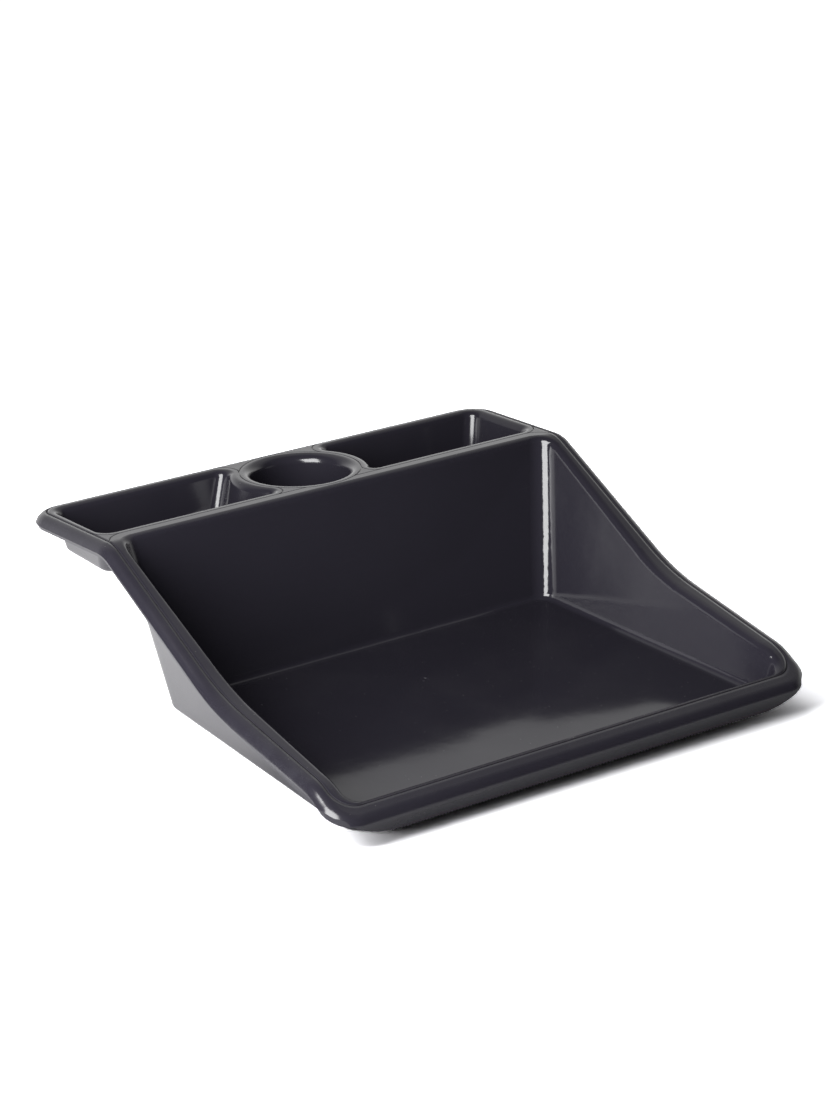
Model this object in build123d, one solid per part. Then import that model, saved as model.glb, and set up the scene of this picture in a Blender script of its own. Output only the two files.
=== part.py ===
from build123d import *
import os
from math import asin, cos, radians, tan

# Potting tray: a deep bin open towards the front, with a raised shelf behind it
# that carries two compartments and a cup between them.  The real tray is one
# moulding; its nodes here meet face to face along the moulding's own grooves.
# Frame: origin at the middle of the footprint on the ground, +X to the right,
# +Y towards the shelf, +Z up.  Millimetres.

# ---- overall ------------------------------------------------------------
WIDTH = 600.0
DEPTH = 584.0
WALL = 3.0
TALL = 230.0                 # above everything on the tray

# ---- side outline of the top skin, as lines of given slope in degrees ---
SHELF_Y, SHELF_Z, SHELF_SLOPE = 155.0, 174.7, -3.6
STEEP_Y, STEEP_Z, STEEP_SLOPE = 97.6, 161.0, 26.1
SHALLOW_Y, SHALLOW_Z, SHALLOW_SLOPE = -176.5, 62.2, 9.1
LIP_Y, LIP_Z, LIP_SLOPE = -276.0, 34.5, 27.8
OUTLINE_RADII = [40.0, 250.0, 60.0]

# ---- rolled rim and the skirt below it ----------------------------------
RIM_ROUND = 14.0             # radius of the rolled outer edge
OUTER_FRONT_CORNER = 32.0
OUTER_REAR_CORNER = 38.0
SKIRT = 9.5                  # how far the skirt hangs below the rim
SKIRT_DIP_Y = -287.0         # across the front the skirt hangs down to
SKIRT_DIP_Z = 27.0           # just above the ground
SKIRT_LOW_Z = 7.0
SKIRT_RADII = [40.0, 250.0, 10.0, 1.5]
ARCH_START = 226.0           # beyond this, in X, the front skirt rises in an
ARCH_RADIUS = 115.0          # arc towards the corner
ARCH_REACH = 52.0            # as far back as this from the front
RIM_SPLIT_Y = -225.0         # the front lip's ends

# ---- grooves in the top skin, which bound the nodes ---------------------
GROOVE = 1.2
SIDE_GROOVE = 285.3          # from the middle, in X
FRONT_GROOVE_Y = -275.9
REAR_GROOVE_Y = 281.5
FRONT_GROOVE_CORNER = 23.0
BIN_GROOVE_CORNER = 26.0
BEAD = 4.0                   # flat bead between a groove and a mouth

# ---- bin, outside at the ground -----------------------------------------
BASE_FRONT_Y = -263.5
BASE_BACK_Y = 97.7
BASE_FRONT_HALF = 266.7
BASE_BACK_HALF = 248.0
SIDE_DRAFT = 9.7
FRONT_DRAFT = 11.0
BACK_DRAFT = 14.0
BIN_FRONT_CORNER = 17.0
BIN_BACK_CORNER = 23.0
FOOT_OUTSIDE = 6.0           # radius between walls and floor
FOOT_INSIDE = 8.0
SHOULDER = 8.0               # radius where the bin walls turn into the rim
GATE_Y = -14.0               # where the plastic entered the mould
GATE_RECESS = 7.0            # radius of the shallow round recess around it
GATE_RECESS_DEPTH = 0.4
GATE_STUB = 1.5              # radius of the trimmed stub in its middle
GATE_STUB_TOP = 0.6          # above the recess

# ---- compartments -------------------------------------------------------
POCKET_LEFT = 281.3
POCKET_FRONT_Y = 159.5
POCKET_BACK_Y = 277.5
POCKET_DEPTH = 44.0
POCKET_DRAFT = 11.0
POCKET_FOOT = 4.0
POCKET_CORNER = 13.0
POCKET_FRONT_TIP = 5.0
POCKET_BACK_TIP = 10.0
POCKET_LIP = 8.0             # radius of the mouth
LIP_RUN = 6.5                # how far that radius reaches in plan

# ---- cup ----------------------------------------------------------------
CUP_Y = 213.7
CUP_GROOVE = 66.0
CUP_MOUTH = 54.0
CUP_DEPTH = 50.0
CUP_DRAFT = 6.0
CUP_LIP = 10.0
WELL_TOP = 185.0             # the shelf's hollows are drawn up to here


def line_z(line, y):
    """Height at y of a line given as a point and a slope."""
    y0, z0, slope = line
    return z0 + tan(radians(slope)) * (y - y0)


def crossing(first, second):
    """Where two lines of the side outline meet."""
    lean = tan(radians(first[2])) - tan(radians(second[2]))
    y = (line_z(second, 0) - line_z(first, 0)) / lean
    return y, line_z(first, y)


SHELF = (SHELF_Y, SHELF_Z, SHELF_SLOPE)
STEEP = (STEEP_Y, STEEP_Z, STEEP_SLOPE)
SHALLOW = (SHALLOW_Y, SHALLOW_Z, SHALLOW_SLOPE)
LIP = (LIP_Y, LIP_Z, LIP_SLOPE)
FAR = DEPTH                  # outlines run out to here at both ends
SHARED_POINTS = [(FAR, line_z(SHELF, FAR)), crossing(SHELF, STEEP), crossing(STEEP, SHALLOW)]
TOP_POINTS = SHARED_POINTS + [crossing(SHALLOW, LIP), (-FAR, line_z(LIP, -FAR))]
SKIRT_POINTS = SHARED_POINTS + [
    (SKIRT_DIP_Y, SKIRT_DIP_Z + SKIRT),
    (-DEPTH / 2 + 1, SKIRT_LOW_Z + SKIRT),
    (-FAR, SKIRT_LOW_Z + SKIRT),
]


def below(points, radii, lower=0.0):
    """Everything under a side outline, across the whole width."""
    lowered = [(y, z - lower) for y, z in points]
    top = FilletPolyline(*lowered, radius=radii)
    floor = -FAR
    rest = Polyline(lowered[-1], (-FAR, floor), (FAR, floor), lowered[0])
    face = Plane.YZ * make_face([*top.edges(), *rest.edges()])
    return extrude(face, amount=WIDTH, both=True)


def rounded_plan(half, front, back, front_corner, back_corner):
    outline = Polyline((-half, front), (half, front), (half, back), (-half, back), close=True)
    face = fillet(make_face(outline).vertices().filter_by(lambda v: v.Y == front), front_corner)
    rear = [v for v in face.vertices() if v.Y > back - 1 and abs(v.X) > half - 1]
    return fillet(rear, back_corner)


def disc(radius):
    return Pos(0, CUP_Y, 0) * make_face(Circle(radius).edges())


def pocket_plan(side, spread, extra=0.0):
    """Outline of a compartment: a rectangle bitten into by the cup's ring."""
    left = -POCKET_LEFT - spread
    front = POCKET_FRONT_Y - spread
    back = POCKET_BACK_Y + spread
    ring = CUP_GROOVE + BEAD - spread
    front_x = -(ring ** 2 - (CUP_Y - front) ** 2) ** 0.5
    back_x = -(ring ** 2 - (back - CUP_Y) ** 2) ** 0.5
    straight = Polyline((back_x, back), (left, back), (left, front), (front_x, front))
    bite = ThreePointArc((front_x, front), (-ring, CUP_Y), (back_x, back))
    face = make_face([*straight.edges(), *bite.edges()])
    corners = [
        (lambda v: v.X < left + 1, POCKET_CORNER),
        (lambda v: abs(v.X - front_x) < 0.01 and v.Y < CUP_Y, POCKET_FRONT_TIP),
        (lambda v: abs(v.X - back_x) < 0.01 and v.Y > CUP_Y, POCKET_BACK_TIP),
    ]
    for chosen, radius in corners:
        face = fillet(face.vertices().filter_by(chosen), radius + extra)
    return face if side < 0 else mirror(face, Plane.YZ)


def well(plan, depth, draft, inset):
    """A tapered hollow; plan(grow) is its outline, grown from the mouth's."""
    mouth = line_z(SHELF, CUP_Y)
    slant = tan(radians(draft))
    floor_z = mouth - depth - inset
    floor = Pos(0, 0, floor_z) * plan(inset - slant * (mouth - floor_z))
    above = Pos(0, 0, WELL_TOP) * plan(inset + slant * (WELL_TOP - mouth))
    body = loft([floor, above], ruled=True)
    return fillet(body.edges().filter_by(lambda e: (e @ 0.5).Z < floor_z + 0.1), POCKET_FOOT + inset)


def pocket_body(side, inset):
    def plan(grow):
        return pocket_plan(side, grow - LIP_RUN, inset)
    return well(plan, POCKET_DEPTH, POCKET_DRAFT, inset)


def cup_body(inset):
    def plan(grow):
        return disc(CUP_MOUTH + grow)
    return well(plan, CUP_DEPTH, CUP_DRAFT, inset)


def bin_body(inset, foot):
    """The bin's tapered body; all of it lies inset from the outside."""
    narrowing = (BASE_FRONT_HALF - BASE_BACK_HALF) / (BASE_BACK_Y - BASE_FRONT_Y)

    def ring(z):
        front = BASE_FRONT_Y - tan(radians(FRONT_DRAFT)) * z + inset
        back = BASE_BACK_Y + tan(radians(BACK_DRAFT)) * z - inset
        side = BASE_FRONT_HALF + tan(radians(SIDE_DRAFT)) * z - inset
        front_half = side - narrowing * (front - BASE_FRONT_Y)
        back_half = side - narrowing * (back - BASE_FRONT_Y)
        corners = [(-front_half, front), (front_half, front), (back_half, back), (-back_half, back)]
        return Pos(0, 0, z) * make_face(Polyline(*corners, close=True))

    body = loft([ring(inset), ring(TALL)], ruled=True)
    for end, radius in ((-1, BIN_FRONT_CORNER - inset), (1, BIN_BACK_CORNER - inset)):
        upright = [e for e in body.edges() if abs((e % 0.5).Z) > 0.8 and end * (e @ 0.5).Y > 0]
        outermost = max(abs((e @ 0.5).X) for e in upright)
        body = fillet([e for e in upright if abs((e @ 0.5).X) > outermost - 1], radius)
    return fillet(body.edges().filter_by(lambda e: (e @ 0.5).Z < inset + 0.1), foot)


def outer_run(solid, front, rear):
    """Edges where a skin meets the upright outer sides."""
    picked = []
    for edge in solid.edges():
        middle = edge @ 0.5
        across = abs(middle.X) < 1 and front + 1 < middle.Y < rear - 1
        upright = abs((edge % 0.5).Z) > 0.95
        if middle.Z > 1 and not across and not upright:
            picked.append(edge)
    return picked


def mouth_run(solid, hollow, low):
    """Edges of a hollow's mouth: they lie on the hollow and run along the skin."""
    picked = []
    for edge in solid.edges():
        middle = edge @ 0.5
        along = abs((edge % 0.5).Z) < 0.8
        if middle.Z > low and along and hollow.distance_to(Vertex(*middle)) < 0.02:
            picked.append(edge)
    return picked


# The rolled edge is cut off by the skirt's lower edge before it is upright, so at
# the rear its outline runs past the depth by this much.
slope = radians(-SHELF_SLOPE)
lean = asin(1 - SKIRT * cos(slope) / RIM_ROUND) - slope
front_y = -DEPTH / 2
rear_y = DEPTH / 2 + RIM_ROUND * (1 - cos(lean))


def outer_plan(inset):
    corners = (OUTER_FRONT_CORNER - inset, OUTER_REAR_CORNER - inset)
    return rounded_plan(WIDTH / 2 - inset, front_y + inset, rear_y - inset, *corners)


def upper_side():
    """Solid under the top skin, with every hollow and rounded mouth."""
    inner_bin = bin_body(WALL, FOOT_INSIDE)
    skin = extrude(outer_plan(0), amount=TALL) & below(TOP_POINTS, OUTLINE_RADII)
    skin = fillet(outer_run(skin, front_y, rear_y), RIM_ROUND)
    skin -= inner_bin
    skin = fillet(mouth_run(skin, inner_bin, 15), SHOULDER)
    hollows = [(pocket_body(-1, 0), POCKET_LIP), (pocket_body(1, 0), POCKET_LIP), (cup_body(0), CUP_LIP)]
    for hollow, radius in hollows:
        skin -= hollow
        skin = fillet(mouth_run(skin, hollow, SHELF_Z - POCKET_DEPTH / 2), radius)
    return skin


def under_side():
    """The air beneath the skin, inside the skirt and around the hollows."""
    air = extrude(outer_plan(WALL), amount=TALL) & below(TOP_POINTS, OUTLINE_RADII, WALL)
    air = fillet(outer_run(air, front_y + WALL, rear_y - WALL), RIM_ROUND - WALL)
    outer_bin = bin_body(0, FOOT_OUTSIDE)
    air -= outer_bin
    air = fillet(mouth_run(air, outer_bin, 15), SHOULDER - WALL)
    for body in (pocket_body(-1, WALL), pocket_body(1, WALL), cup_body(WALL)):
        air -= body
    return air


def arch(side):
    """The air under one front corner, where the skirt rises in an arc."""
    run = WIDTH / 2 + WALL - ARCH_START
    middle_x = side * (ARCH_START + run / 2)
    block = Pos(middle_x, front_y, SKIRT_LOW_Z + ARCH_RADIUS / 2) * Box(run, 2 * ARCH_REACH, ARCH_RADIUS)
    drum = Cylinder(ARCH_RADIUS, WIDTH, rotation=(90, 0, 0))
    return block - Pos(side * ARCH_START, 0, SKIRT_LOW_Z + ARCH_RADIUS) * drum


def gate_mark():
    """The trimmed stub left in the bin's floor where the plastic came in, and its recess."""
    recess_z = WALL - GATE_RECESS_DEPTH
    up = (Align.CENTER, Align.CENTER, Align.MIN)
    recess = Pos(0, GATE_Y, recess_z) * Cylinder(GATE_RECESS, WALL, align=up)
    stub = Pos(0, GATE_Y, recess_z) * Cone(GATE_STUB, GATE_STUB / 2, GATE_STUB_TOP, align=up)
    return recess, stub


def column(zone):
    """The upright column over a zone in plan, from under the tray to above it."""
    return Pos(0, 0, -WALL) * extrude(zone, amount=TALL)


moulding = upper_side() - under_side()
skirt_band = column(outer_plan(-WALL)) - column(outer_plan(WALL))
moulding -= skirt_band & below(SKIRT_POINTS, SKIRT_RADII, SKIRT)
for side in (-1, 1):
    moulding -= skirt_band & arch(side)
recess, stub = gate_mark()
moulding = moulding - recess + stub

# zones in plan, each bounded by a groove in the top skin
rear_corner = POCKET_CORNER + LIP_RUN + BEAD
whole = rounded_plan(SIDE_GROOVE, FRONT_GROOVE_Y, REAR_GROOVE_Y, FRONT_GROOVE_CORNER, rear_corner)
shelf_line = POCKET_FRONT_Y - BEAD
bin_plan = rounded_plan(SIDE_GROOVE, FRONT_GROOVE_Y, shelf_line, FRONT_GROOVE_CORNER, BIN_GROOVE_CORNER)
cup_plan = disc(CUP_GROOVE)
zones = {
    "main_bin": bin_plan - cup_plan,
    "left_compartment": offset(pocket_plan(-1, 0, LIP_RUN), BEAD),
    "right_compartment": offset(pocket_plan(1, 0, LIP_RUN), BEAD),
    "pot_cup": cup_plan,
}
deck = whole
for zone in zones.values():
    deck -= zone

groove_floor = below(TOP_POINTS, OUTLINE_RADII, GROOVE)
for outline in (whole, *zones.values()):
    ring = column(offset(outline, GROOVE / 2)) - column(offset(outline, -GROOVE / 2))
    moulding -= ring - groove_floor

nodes = {name: moulding & column(zone) for name, zone in zones.items()}
nodes["shelf_deck"] = moulding & column(deck)

rim = moulding - column(whole)


def part_of_rim(x_low, x_high, y_low, y_high):
    corner = (x_low, y_low, -TALL)
    size = (x_high - x_low, y_high - y_low, 2 * TALL)
    aligned = (Align.MIN, Align.MIN, Align.MIN)
    return rim & (Pos(*corner) * Box(*size, align=aligned))


nodes["front_lip"] = part_of_rim(-WIDTH, WIDTH, -FAR, RIM_SPLIT_Y)
nodes["left_side_rim"] = part_of_rim(-WIDTH, 0, RIM_SPLIT_Y, shelf_line)
nodes["right_side_rim"] = part_of_rim(0, WIDTH, RIM_SPLIT_Y, shelf_line)
nodes["rear_rim"] = part_of_rim(-WIDTH, WIDTH, shelf_line, FAR)

os.makedirs("parts", exist_ok=True)
for name, node in nodes.items():
    export_step(node, f"parts/{name}.step")
    print(name, len(node.solids()), "solid(s)", round(node.volume), "mm3", node.bounding_box())
print("moulding", round(moulding.volume), "mm3; nodes", round(sum(n.volume for n in nodes.values())), "mm3")
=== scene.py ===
import math

import bpy
from bpy.props import FloatProperty, FloatVectorProperty, PointerProperty
from mathutils import Matrix, Vector

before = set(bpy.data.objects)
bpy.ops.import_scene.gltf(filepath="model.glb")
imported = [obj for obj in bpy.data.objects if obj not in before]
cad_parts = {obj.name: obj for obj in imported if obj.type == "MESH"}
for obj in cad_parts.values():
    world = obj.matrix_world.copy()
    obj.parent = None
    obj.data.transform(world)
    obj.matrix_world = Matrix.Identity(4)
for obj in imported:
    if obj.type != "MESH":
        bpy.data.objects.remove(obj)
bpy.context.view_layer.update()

bl_info = {
    "name": "Potting tray",
    "version": (1, 0, 0),
    "blender": (4, 5, 0),
    "location": "View3D > Sidebar > Potting tray",
    "description": "Finishes a moulded potting tray around its fixed frame",
    "category": "Object",
}

BIN = "main_bin"
WELLS = ("left_compartment", "right_compartment", "pot_cup")
RIMS = ("front_lip", "left_side_rim", "right_side_rim", "rear_rim")
DECK = "shelf_deck"

# The groove around the whole tray, seen from above, in metres.
GROOVE_HALF_WIDTH = 0.2853
GROOVE_HALF_LENGTH = 0.2787
GROOVE_MIDDLE_Y = 0.0028
GROOVE_CORNER = 0.023


# ---- sizes and colours that a user would change ---------------------------

class PlasticLook(bpy.types.PropertyGroup):
    colour: FloatVectorProperty(
        name="Plastic", description="Colour of the black polypropylene",
        default=(0.0150, 0.0139, 0.0192), subtype="COLOR", size=3, min=0.0, max=1.0)
    # the dust colour also paints sheen where the rim's dust film is laid thick
    dust_colour: FloatVectorProperty(
        name="Dust", description="Colour of the fine dust on upward faces",
        default=(0.20, 0.195, 0.185), subtype="COLOR", size=3, min=0.0, max=1.0)
    worn_colour: FloatVectorProperty(
        name="Worn plastic", description="Colour of the rubbed edges",
        default=(0.050, 0.050, 0.056), subtype="COLOR", size=3, min=0.0, max=1.0)
    roughness: FloatProperty(
        name="Roughness", description="Roughness of the clean moulded skin",
        default=0.13, min=0.0, max=1.0)


class StudioSizes(bpy.types.PropertyGroup):
    camera_place: FloatVectorProperty(
        name="Camera", description="Where the camera stands",
        default=(-1.9152, -2.6611, 1.4295), subtype="TRANSLATION", size=3)
    camera_turn: FloatProperty(
        name="Camera turn", description="The camera's angle round the tray",
        default=math.radians(-35.822), subtype="ANGLE")
    camera_height: FloatProperty(
        name="Camera height", description="How far the camera looks down",
        default=math.radians(21.559), subtype="ANGLE")
    lens: FloatProperty(
        name="Lens", description="Focal length in millimetres for a 36 mm frame",
        default=109.24, min=1.0)
    table_radius: FloatProperty(
        name="Table radius", description="Half the width of the round white table",
        default=1.6, unit="LENGTH")
    key_power: FloatProperty(
        name="Left softbox", description="Power of the softbox on the left, in watts",
        default=112.0, min=0.0)
    wash_power: FloatProperty(
        name="Table wash", description="Power of the light behind that whitens the table, in watts",
        default=240.0, min=0.0)
    pool_power: FloatProperty(
        name="Left wash", description="Power of the low light on the table's left, in watts",
        default=19.0, min=0.0)
    backdrop: FloatProperty(
        name="Backdrop", description="Brightness of the backdrop low down behind the tray",
        default=1.5, min=0.0)
    air: FloatProperty(
        name="Fill", description="Brightness of the rest of the studio",
        default=0.016, min=0.0)


# ---- helpers ---------------------------------------------------------------

def nothing_selected():
    if bpy.context.object and bpy.context.object.mode != "OBJECT":
        bpy.ops.object.mode_set(mode="OBJECT")
    bpy.ops.object.select_all(action="DESELECT")


def node_at(tree, kind, x, y, **values):
    """Adds a shader node at a place in the editor and sets its properties."""
    node = tree.nodes.new(kind)
    node.location = (x, y)
    for name, value in values.items():
        setattr(node, name, value)
    return node


def group_socket(tree, name, way, kind, default=None, low=None, high=None):
    socket = tree.interface.new_socket(name=name, in_out=way, socket_type=kind)
    if default is not None:
        socket.default_value = default
    if low is not None:
        socket.min_value = low
    if high is not None:
        socket.max_value = high
    return socket


def noise_into(tree, vector, x, y, scale, detail=3.0, rough=0.5):
    noise = node_at(tree, "ShaderNodeTexNoise", x, y)
    noise.inputs["Scale"].default_value = scale
    noise.inputs["Detail"].default_value = detail
    noise.inputs["Roughness"].default_value = rough
    tree.links.new(vector, noise.inputs["Vector"])
    return noise


def ramp_into(tree, value, x, y, low, high, top=1.0):
    """Spreads a value between two limits over 0 to top."""
    spread = node_at(tree, "ShaderNodeMapRange", x, y, interpolation_type="SMOOTHSTEP")
    spread.inputs["From Min"].default_value = low
    spread.inputs["From Max"].default_value = high
    spread.inputs["To Min"].default_value = 0.0
    spread.inputs["To Max"].default_value = top
    tree.links.new(value, spread.inputs["Value"])
    return spread.outputs["Result"]


def maths(tree, x, y, operation, first, second):
    node = node_at(tree, "ShaderNodeMath", x, y, operation=operation)
    for socket, value in zip(node.inputs, (first, second)):
        if isinstance(value, (int, float)):
            socket.default_value = value
        else:
            tree.links.new(value, socket)
    return node.outputs[0]


# ---- effects shared by the finishes, as node groups ------------------------

def moulded_skin():
    """Height of the moulded surface: slow sink waves, small ripples and a fine texture."""
    tree = bpy.data.node_groups.new("moulded_skin", "ShaderNodeTree")
    group_socket(tree, "Vector", "INPUT", "NodeSocketVector")
    group_socket(tree, "Waves", "INPUT", "NodeSocketFloat", 1.0, 0.0, 4.0)
    group_socket(tree, "Texture", "INPUT", "NodeSocketFloat", 1.0, 0.0, 4.0)
    group_socket(tree, "Height", "OUTPUT", "NodeSocketFloat")
    inlet = node_at(tree, "NodeGroupInput", -900, 0)
    outlet = node_at(tree, "NodeGroupOutput", 500, 0)
    slow = noise_into(tree, inlet.outputs["Vector"], -650, 250, 6.0, 1.0, 0.3)
    middle = noise_into(tree, inlet.outputs["Vector"], -650, 0, 38.0, 2.0, 0.4)
    fine = noise_into(tree, inlet.outputs["Vector"], -650, -250, 1400.0, 2.0, 0.6)
    ripple = maths(tree, -420, 0, "MULTIPLY", middle.outputs["Fac"], 0.045)
    waves = maths(tree, -220, 150, "ADD", slow.outputs["Fac"], ripple)
    waves = maths(tree, -20, 150, "MULTIPLY", waves, inlet.outputs["Waves"])
    grain = maths(tree, -220, -200, "MULTIPLY", fine.outputs["Fac"], 0.0022)
    grain = maths(tree, -20, -200, "MULTIPLY", grain, inlet.outputs["Texture"])
    height = maths(tree, 220, 0, "ADD", waves, grain)
    tree.links.new(height, outlet.inputs["Height"])
    return tree


def handling_marks():
    """Mask of hair-fine scratches in three directions, broken up into short runs."""
    tree = bpy.data.node_groups.new("handling_marks", "ShaderNodeTree")
    group_socket(tree, "Vector", "INPUT", "NodeSocketVector")
    group_socket(tree, "Amount", "INPUT", "NodeSocketFloat", 1.0, 0.0, 4.0)
    group_socket(tree, "Mask", "OUTPUT", "NodeSocketFloat")
    inlet = node_at(tree, "NodeGroupInput", -1100, 0)
    outlet = node_at(tree, "NodeGroupOutput", 700, 0)
    runs = []
    for row, (turn, stretch) in enumerate(((0.35, 70.0), (-0.9, 90.0), (1.9, 60.0))):
        y = 400 - 400 * row
        lay = node_at(tree, "ShaderNodeMapping", -900, y)
        lay.inputs["Rotation"].default_value = (0.0, 0.0, turn)
        lay.inputs["Scale"].default_value = (1.0, stretch, stretch)
        tree.links.new(inlet.outputs["Vector"], lay.inputs["Vector"])
        hair = noise_into(tree, lay.outputs["Vector"], -680, y, 9.0, 1.0, 0.5)
        line = ramp_into(tree, hair.outputs["Fac"], -460, y, 0.74, 0.80)
        runs.append(line)
    both = maths(tree, -200, 200, "MAXIMUM", runs[0], runs[1])
    every = maths(tree, 0, 0, "MAXIMUM", both, runs[2])
    patch = noise_into(tree, inlet.outputs["Vector"], -680, -800, 14.0, 2.0, 0.5)
    worn = ramp_into(tree, patch.outputs["Fac"], -200, -500, 0.45, 0.7)
    mask = maths(tree, 220, 0, "MULTIPLY", every, worn)
    mask = maths(tree, 440, 0, "MULTIPLY", mask, inlet.outputs["Amount"])
    tree.links.new(mask, outlet.inputs["Mask"])
    return tree


def dust_and_sheen():
    """Mask of dust on upward faces: a thin uneven film with separate specks in it. Where it is laid thick,
    as on the rim, the film is also painted sheen that lightens the upward faces.
    """
    tree = bpy.data.node_groups.new("dust_and_sheen", "ShaderNodeTree")
    group_socket(tree, "Vector", "INPUT", "NodeSocketVector")
    group_socket(tree, "Normal", "INPUT", "NodeSocketVector")
    group_socket(tree, "Film", "INPUT", "NodeSocketFloat", 1.0, 0.0, 4.0)
    group_socket(tree, "Specks", "INPUT", "NodeSocketFloat", 1.0, 0.0, 4.0)
    group_socket(tree, "Mask", "OUTPUT", "NodeSocketFloat")
    inlet = node_at(tree, "NodeGroupInput", -900, 0)
    outlet = node_at(tree, "NodeGroupOutput", 700, 0)
    parts = node_at(tree, "ShaderNodeSeparateXYZ", -680, -400)
    tree.links.new(inlet.outputs["Normal"], parts.inputs[0])
    facing = ramp_into(tree, parts.outputs["Z"], -460, -400, 0.55, 1.0)
    cloud = noise_into(tree, inlet.outputs["Vector"], -680, 200, 9.0, 5.0, 0.62)
    film = ramp_into(tree, cloud.outputs["Fac"], -460, 200, 0.42, 0.78, 0.018)
    film = maths(tree, -200, 200, "MULTIPLY", film, inlet.outputs["Film"])
    cells = node_at(tree, "ShaderNodeTexVoronoi", -680, -100)
    cells.inputs["Scale"].default_value = 95.0
    tree.links.new(inlet.outputs["Vector"], cells.inputs["Vector"])
    speck = ramp_into(tree, cells.outputs["Distance"], -460, -100, 0.055, 0.02, 0.35)
    speck = maths(tree, -200, -100, "MULTIPLY", speck, inlet.outputs["Specks"])
    every = maths(tree, 0, 50, "ADD", film, speck)
    mask = maths(tree, 240, 0, "MULTIPLY", every, facing)
    tree.links.new(mask, outlet.inputs["Mask"])
    return tree


def edge_rub():
    """Mask of the outer edges that hands and benches rub bright."""
    tree = bpy.data.node_groups.new("edge_rub", "ShaderNodeTree")
    group_socket(tree, "Vector", "INPUT", "NodeSocketVector")
    group_socket(tree, "Pointiness", "INPUT", "NodeSocketFloat", 0.5)
    group_socket(tree, "Amount", "INPUT", "NodeSocketFloat", 1.0, 0.0, 4.0)
    group_socket(tree, "Mask", "OUTPUT", "NodeSocketFloat")
    inlet = node_at(tree, "NodeGroupInput", -700, 0)
    outlet = node_at(tree, "NodeGroupOutput", 500, 0)
    edge = ramp_into(tree, inlet.outputs["Pointiness"], -450, 150, 0.52, 0.60)
    broken = noise_into(tree, inlet.outputs["Vector"], -450, -150, 60.0, 4.0, 0.6)
    chips = ramp_into(tree, broken.outputs["Fac"], -220, -150, 0.40, 0.65)
    mask = maths(tree, 0, 0, "MULTIPLY", edge, chips)
    mask = maths(tree, 240, 0, "MULTIPLY", mask, inlet.outputs["Amount"])
    tree.links.new(mask, outlet.inputs["Mask"])
    return tree


def groove_shoulder():
    """Softened shoulders of the groove around the tray: low along its middle line, level away from it."""
    tree = bpy.data.node_groups.new("groove_shoulder", "ShaderNodeTree")
    group_socket(tree, "Vector", "INPUT", "NodeSocketVector")
    group_socket(tree, "Height", "OUTPUT", "NodeSocketFloat")
    group_socket(tree, "Bottom", "OUTPUT", "NodeSocketFloat")
    inlet = node_at(tree, "NodeGroupInput", -1300, 0)
    outlet = node_at(tree, "NodeGroupOutput", 900, 0)
    parts = node_at(tree, "ShaderNodeSeparateXYZ", -1100, 0)
    tree.links.new(inlet.outputs["Vector"], parts.inputs[0])
    across = maths(tree, -900, 200, "ABSOLUTE", parts.outputs["X"], 0.0)
    across = maths(tree, -700, 200, "SUBTRACT", across, GROOVE_HALF_WIDTH - GROOVE_CORNER)
    along = maths(tree, -1000, -200, "SUBTRACT", parts.outputs["Y"], GROOVE_MIDDLE_Y)
    along = maths(tree, -850, -200, "ABSOLUTE", along, 0.0)
    along = maths(tree, -700, -200, "SUBTRACT", along, GROOVE_HALF_LENGTH - GROOVE_CORNER)
    beyond = node_at(tree, "ShaderNodeCombineXYZ", -300, 0)
    tree.links.new(maths(tree, -500, 100, "MAXIMUM", across, 0.0), beyond.inputs["X"])
    tree.links.new(maths(tree, -500, -100, "MAXIMUM", along, 0.0), beyond.inputs["Y"])
    length = node_at(tree, "ShaderNodeVectorMath", -100, 0, operation="LENGTH")
    tree.links.new(beyond.outputs[0], length.inputs[0])
    within = maths(tree, -300, -300, "MAXIMUM", across, along)
    within = maths(tree, -100, -300, "MINIMUM", within, 0.0)
    away = maths(tree, 100, -100, "ADD", length.outputs["Value"], within)
    away = maths(tree, 250, -100, "SUBTRACT", away, GROOVE_CORNER)
    away = maths(tree, 400, -100, "ABSOLUTE", away, 0.0)
    tree.links.new(ramp_into(tree, away, 600, 100, 0.0004, 0.0030), outlet.inputs["Height"])
    tree.links.new(ramp_into(tree, away, 600, -200, 0.0014, 0.0006), outlet.inputs["Bottom"])
    return tree


EFFECTS = {}


def build_effects():
    for make in (moulded_skin, handling_marks, dust_and_sheen, edge_rub, groove_shoulder):
        EFFECTS[make.__name__] = make()


def effect(tree, name, x, y, **values):
    """Places a shared effect in a material and sets its own amounts."""
    node = node_at(tree, "ShaderNodeGroup", x, y, node_tree=EFFECTS[name])
    for socket, value in values.items():
        node.inputs[socket].default_value = value
    return node


# ---- the plastic ------------------------------------------------------------

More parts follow.
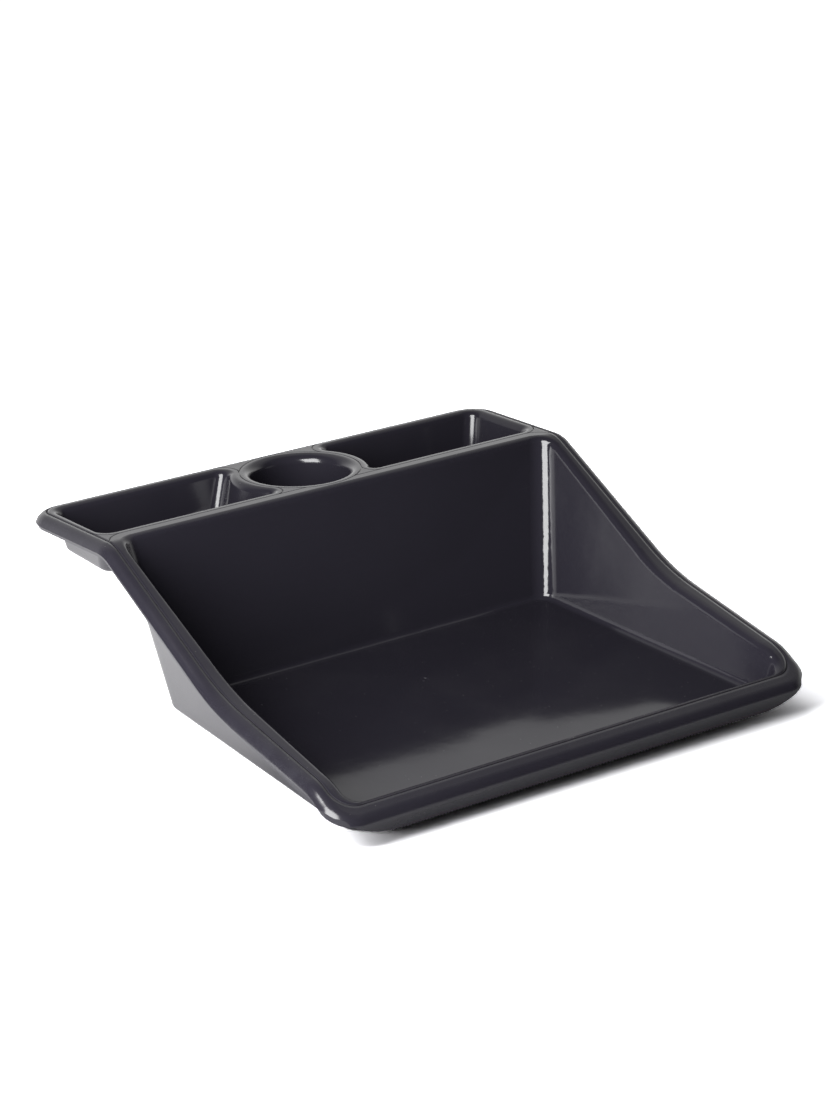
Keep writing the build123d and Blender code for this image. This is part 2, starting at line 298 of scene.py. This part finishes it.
def black_plastic(name, waves=1.0, texture=1.0, marks=1.0, film=1.0, specks=1.0, rub=1.0, rougher=0.0):
    """Satin black polypropylene as it comes from the mould, lightly handled."""
    look = bpy.context.scene.plastic_look
    material = bpy.data.materials.new(name)
    material.use_nodes = True
    tree = material.node_tree
    tree.nodes.clear()
    link = tree.links.new
    outlet = node_at(tree, "ShaderNodeOutputMaterial", 900, 0)
    skin = node_at(tree, "ShaderNodeBsdfPrincipled", 600, 0)
    skin.inputs["IOR"].default_value = 1.49
    skin.inputs["Specular IOR Level"].default_value = 0.5
    link(skin.outputs["BSDF"], outlet.inputs["Surface"])
    place = node_at(tree, "ShaderNodeTexCoord", -1200, 0)
    shape = node_at(tree, "ShaderNodeNewGeometry", -1200, -400)
    where = place.outputs["Object"]

    mould = effect(tree, "moulded_skin", -800, -600, Waves=waves, Texture=texture)
    scratch = effect(tree, "handling_marks", -800, 0, Amount=marks)
    dust = effect(tree, "dust_and_sheen", -800, 250, Film=film, Specks=specks)
    edges = effect(tree, "edge_rub", -800, 500, Amount=rub)
    groove = effect(tree, "groove_shoulder", -800, -900)
    for group in (mould, scratch, dust, edges, groove):
        link(where, group.inputs["Vector"])
    link(shape.outputs["Normal"], dust.inputs["Normal"])
    link(shape.outputs["Pointiness"], edges.inputs["Pointiness"])

    tint = noise_into(tree, where, -800, 800, 5.0, 3.0, 0.5)
    base = node_at(tree, "ShaderNodeMix", -500, 800, data_type="RGBA")
    base.inputs["A"].default_value = (*[0.88 * c for c in look.colour], 1.0)
    base.inputs["B"].default_value = (*[1.14 * c for c in look.colour], 1.0)
    link(tint.outputs["Fac"], base.inputs["Factor"])
    rubbed = node_at(tree, "ShaderNodeMix", -250, 600, data_type="RGBA")
    rubbed.inputs["B"].default_value = (*look.worn_colour, 1.0)
    link(base.outputs["Result"], rubbed.inputs["A"])
    both = maths(tree, -500, 550, "MAXIMUM", edges.outputs["Mask"], scratch.outputs["Mask"])
    both = maths(tree, -380, 500, "MULTIPLY", both, 0.25)
    link(both, rubbed.inputs["Factor"])
    # dust colour on upward faces: real dust, and on the rim also painted sheen lightening its top
    dust_and_sheen_mix = node_at(tree, "ShaderNodeMix", 50, 400, data_type="RGBA")
    dust_and_sheen_mix.inputs["B"].default_value = (*look.dust_colour, 1.0)
    link(rubbed.outputs["Result"], dust_and_sheen_mix.inputs["A"])
    link(dust.outputs["Mask"], dust_and_sheen_mix.inputs["Factor"])
    link(dust_and_sheen_mix.outputs["Result"], skin.inputs["Base Color"])

    sheen = noise_into(tree, where, -800, -250, 11.0, 4.0, 0.6)
    spread = maths(tree, -500, -250, "MULTIPLY", sheen.outputs["Fac"], 0.09)
    rough = maths(tree, -300, -250, "ADD", spread, look.roughness - 0.045 + rougher)
    scratched = maths(tree, -300, -100, "MULTIPLY", scratch.outputs["Mask"], 0.18)
    rough = maths(tree, -100, -200, "ADD", rough, scratched)
    film_on = maths(tree, -100, 100, "MULTIPLY", dust.outputs["Mask"], 1.2)
    rough = maths(tree, 100, -150, "ADD", rough, film_on)
    in_groove = maths(tree, 100, -350, "MULTIPLY", groove.outputs["Bottom"], 0.5)
    rough = maths(tree, 300, -150, "ADD", rough, in_groove)
    link(rough, skin.inputs["Roughness"])

    bump = node_at(tree, "ShaderNodeBump", 300, -500)
    bump.inputs["Strength"].default_value = 1.0
    bump.inputs["Distance"].default_value = 0.0018
    shoulder = maths(tree, -100, -700, "MULTIPLY", groove.outputs["Height"], 0.45)
    height = maths(tree, 100, -600, "ADD", mould.outputs["Height"], shoulder)
    link(height, bump.inputs["Height"])
    link(bump.outputs["Normal"], skin.inputs["Normal"])
    return material


def finish_node(name, material):
    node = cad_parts[name]
    node.data.materials.clear()
    node.data.materials.append(material)
    for slot in node.material_slots:
        slot.material = material


# ---- operators ---------------------------------------------------------------

class TRAY_OT_bin(bpy.types.Operator):
    """Finishes the bin in satin black, scuffed a little on its floor"""
    bl_idname = "tray.bin"
    bl_label = "Bin"

    def execute(self, context):
        material = black_plastic("bin_black", texture=0.4, marks=0.8, film=0.9, rougher=-0.025)
        finish_node(BIN, material)
        return {"FINISHED"}


class TRAY_OT_wells(bpy.types.Operator):
    """Finishes the two compartments and the cup"""
    bl_idname = "tray.wells"
    bl_label = "Compartments and cup"

    def execute(self, context):
        material = black_plastic("well_black", waves=0.7, marks=0.4, film=1.6, rougher=0.03)
        for name in WELLS:
            finish_node(name, material)
        return {"FINISHED"}


class TRAY_OT_rims(bpy.types.Operator):
    """Finishes the rolled rim and the shelf between the hollows"""
    bl_idname = "tray.rims"
    bl_label = "Rim and shelf"

    def execute(self, context):
        # film 2.2 lays the dust thick on the rim: partly dust, partly painted sheen that lightens the
        # rim's upward faces
        wear_and_sheen = {"marks": 0.2, "film": 2.2, "rub": 0.4}
        material = black_plastic("rim_black", waves=0.12, texture=0.7, rougher=0.07, **wear_and_sheen)
        for name in (*RIMS, DECK):
            finish_node(name, material)
        return {"FINISHED"}


def table_material():
    """Matt white, overexposed to the camera; in reflections its colour carries painted shade, darker in
    front of the tray.
    """
    material = bpy.data.materials.new("white_table")
    material.use_nodes = True
    tree = material.node_tree
    tree.nodes.clear()
    outlet = node_at(tree, "ShaderNodeOutputMaterial", 500, 0)
    matt = node_at(tree, "ShaderNodeBsdfDiffuse", 0, -150)
    where = node_at(tree, "ShaderNodeTexCoord", -900, -150)
    parts = node_at(tree, "ShaderNodeSeparateXYZ", -700, -150)
    tree.links.new(where.outputs["Object"], parts.inputs[0])
    # painted shade: the table's colour darkens in front of the tray, so the front lip reflects a dark
    # floor there
    painted_shade = ramp_into(tree, parts.outputs["Y"], -500, -150, -0.34, 0.0, 0.86)
    painted_shade = maths(tree, -250, -150, "MAXIMUM", painted_shade, 0.62)
    tree.links.new(painted_shade, matt.inputs["Color"])
    bright = node_at(tree, "ShaderNodeBsdfDiffuse", 0, 150)
    bright.inputs["Color"].default_value = (1.8, 1.8, 1.85, 1.0)
    path = node_at(tree, "ShaderNodeLightPath", 0, 450)
    choose = node_at(tree, "ShaderNodeMixShader", 250, 0)
    tree.links.new(path.outputs["Is Camera Ray"], choose.inputs[0])
    tree.links.new(matt.outputs[0], choose.inputs[1])
    tree.links.new(bright.outputs[0], choose.inputs[2])
    tree.links.new(choose.outputs[0], outlet.inputs["Surface"])
    return material


def studio_air(studio):
    """Dim air all round and a backdrop that is brightest low down; the camera itself sees white."""
    world = bpy.data.worlds.new("studio_air")
    world.use_nodes = True
    tree = world.node_tree
    tree.nodes.clear()
    link = tree.links.new
    outlet = node_at(tree, "ShaderNodeOutputWorld", 800, 0)
    where = node_at(tree, "ShaderNodeTexCoord", -1000, 0)
    turn = node_at(tree, "ShaderNodeMapping", -800, 0, vector_type="POINT")
    turn.inputs["Rotation"].default_value = (0.0, 0.0, -studio.camera_turn)
    link(where.outputs["Generated"], turn.inputs["Vector"])
    parts = node_at(tree, "ShaderNodeSeparateXYZ", -600, 0)
    link(turn.outputs["Vector"], parts.inputs[0])
    behind = ramp_into(tree, parts.outputs["Y"], -400, 150, 0.0, 0.6)
    fade = node_at(tree, "ShaderNodeMapRange", -400, -150, interpolation_type="SMOOTHSTEP")
    fade.inputs["From Min"].default_value = 0.1
    fade.inputs["From Max"].default_value = 0.62
    fade.inputs["To Min"].default_value = studio.backdrop
    fade.inputs["To Max"].default_value = 0.62
    link(parts.outputs["Z"], fade.inputs["Value"])
    glow = maths(tree, -150, 0, "MULTIPLY", behind, fade.outputs["Result"])
    seen = maths(tree, 50, 0, "ADD", glow, studio.air)
    dim = node_at(tree, "ShaderNodeBackground", 300, 100)
    link(seen, dim.inputs["Strength"])
    white = node_at(tree, "ShaderNodeBackground", 300, -100)
    white.inputs["Color"].default_value = (1.1, 1.1, 1.1, 1.0)
    path = node_at(tree, "ShaderNodeLightPath", 300, 400)
    choose = node_at(tree, "ShaderNodeMixShader", 550, 0)
    link(path.outputs["Is Camera Ray"], choose.inputs[0])
    link(dim.outputs[0], choose.inputs[1])
    link(white.outputs[0], choose.inputs[2])
    link(choose.outputs[0], outlet.inputs["Surface"])
    return world


def soft_light(name, place, target, size, power, colour=(1.0, 1.0, 1.0)):
    data = bpy.data.lights.new(name, "AREA")
    data.shape = "RECTANGLE"
    data.size, data.size_y = size
    data.energy = power
    data.color = colour
    light = bpy.data.objects.new(name, data)
    light.visible_camera = False
    bpy.context.scene.collection.objects.link(light)
    light.location = place
    light.rotation_euler = (Vector(target) - Vector(place)).to_track_quat("-Z", "Y").to_euler()
    return light


class TRAY_OT_stage(bpy.types.Operator):
    """Sets the white table, the soft lights and the camera"""
    bl_idname = "tray.stage"
    bl_label = "Table, lights and camera"

    def execute(self, context):
        scene = context.scene
        studio = scene.studio_sizes
        nothing_selected()
        bpy.ops.mesh.primitive_circle_add(vertices=128, radius=studio.table_radius, fill_type="NGON")
        table = context.object
        table.name = "white_table"
        table.data.materials.append(table_material())

        scene.world = studio_air(studio)
        key_place, key_target, key_size = (-1.58, -0.64, 0.84), (0.0, -0.05, 0.1), (1.3, 1.8)
        key = soft_light("left_softbox", key_place, key_target, key_size, studio.key_power)
        lit = {light: bpy.data.collections.new(light + "_lights") for light in ("tray", "table")}
        lit["table"].objects.link(table)
        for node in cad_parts.values():
            lit["tray"].objects.link(node)
        key.light_linking.receiver_collection = lit["tray"]
        washes = (
            soft_light("back_wash", (0.0, 3.4, 2.5), (0.0, 0.0, 0.0), (5.0, 3.0), studio.wash_power),
            soft_light("left_wash", (-0.8, 0.2, 0.55), (-0.36, -0.02, 0.0), (0.4, 0.9), studio.pool_power),
        )
        for wash in washes:
            wash.light_linking.receiver_collection = lit["table"]

        data = bpy.data.cameras.new("camera")
        data.lens = studio.lens
        data.sensor_width = 36.0
        data.clip_end = 100.0
        camera = bpy.data.objects.new("camera", data)
        scene.collection.objects.link(camera)
        turn, tip = studio.camera_turn, studio.camera_height
        back = Vector((math.sin(turn) * math.cos(tip), -math.cos(turn) * math.cos(tip), math.sin(tip)))
        right = Vector((math.cos(turn), math.sin(turn), 0.0))
        up = back.cross(right)
        facing = Matrix((right, up, back)).transposed().to_4x4()
        camera.matrix_world = Matrix.Translation(Vector(studio.camera_place)) @ facing
        scene.camera = camera
        scene.view_settings.view_transform = "Standard"
        return {"FINISHED"}


class TRAY_PT_panel(bpy.types.Panel):
    """Lists the steps that make the tray"""
    bl_idname = "TRAY_PT_panel"
    bl_label = "Potting tray"
    bl_space_type = "VIEW_3D"
    bl_region_type = "UI"
    bl_category = "Potting tray"

    def draw(self, context):
        for step in STEPS:
            self.layout.operator(step.bl_idname)


GROUPS = (PlasticLook, StudioSizes)
STEPS = (TRAY_OT_stage, TRAY_OT_bin, TRAY_OT_wells, TRAY_OT_rims)


def register():
    for cls in (*GROUPS, *STEPS, TRAY_PT_panel):
        bpy.utils.register_class(cls)
    bpy.types.Scene.plastic_look = PointerProperty(type=PlasticLook)
    bpy.types.Scene.studio_sizes = PointerProperty(type=StudioSizes)


def unregister():
    del bpy.types.Scene.studio_sizes
    del bpy.types.Scene.plastic_look
    for cls in reversed((*GROUPS, *STEPS, TRAY_PT_panel)):
        bpy.utils.unregister_class(cls)


def main():
    register()
    build_effects()
    bpy.ops.tray.stage()
    bpy.ops.tray.bin()
    bpy.ops.tray.wells()
    bpy.ops.tray.rims()


if __name__ == "__main__":
    main()
